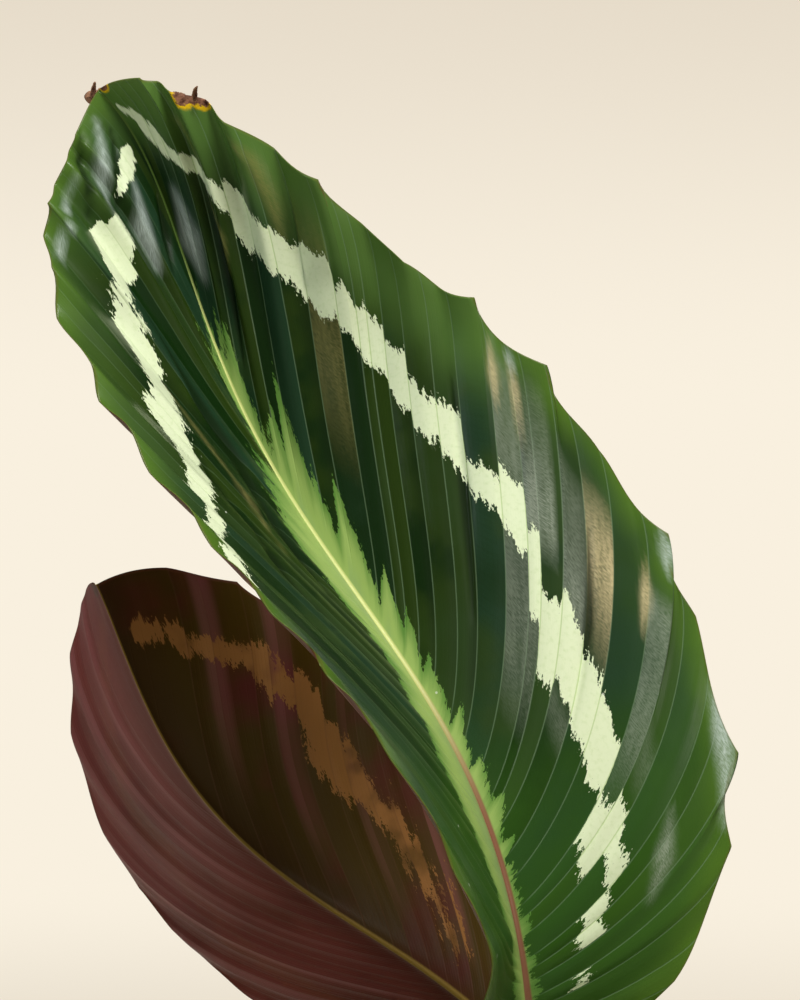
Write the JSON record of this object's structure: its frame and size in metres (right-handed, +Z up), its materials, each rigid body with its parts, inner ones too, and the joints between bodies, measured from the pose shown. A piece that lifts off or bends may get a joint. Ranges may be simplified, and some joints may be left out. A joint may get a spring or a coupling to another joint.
{
  "type": "potted calathea",
  "caption": "Potted calathea: broad pleated leaves with a pale ring band and maroon undersides, on slim stalks in a plain terracotta pot.",
  "frame": {"origin": "centre of the pot's flat foot, where the pot stands", "axes": "+Z up along the pot's axis; the front of the plant faces -Y, and +X is to the right seen from the front"},
  "size_m": [0.3339, 0.3138, 0.4184],
  "materials": {
    "terracotta": "unglazed fired clay, matte",
    "soil": "moist peat potting mix with perlite",
    "rootstock": "pale brown, matte",
    "stalk": "green flushed with maroon, satin",
    "leaf": "dark green upper face with a pale ring band, satin; maroon underside"
  },
  "bodies": {
    "root": {"pot": "terracotta", "soil": "soil", "rootstock_a": "rootstock", "rootstock_b": "rootstock", "leaf_stalk_01": "stalk", "leaf_blade_01": "leaf", "leaf_stalk_02": "stalk", "leaf_blade_02": "leaf", "leaf_stalk_03": "stalk", "leaf_blade_03": "leaf", "leaf_stalk_04": "stalk", "leaf_blade_04": "leaf", "leaf_stalk_05": "stalk", "leaf_blade_05": "leaf", "leaf_stalk_06": "stalk", "leaf_blade_06": "leaf", "leaf_stalk_07": "stalk", "leaf_blade_07": "leaf", "leaf_stalk_08": "stalk", "leaf_blade_08": "leaf", "leaf_stalk_09": "stalk", "leaf_blade_09": "leaf", "rolled_leaf": "stalk"}
  },
  "joints": []
}
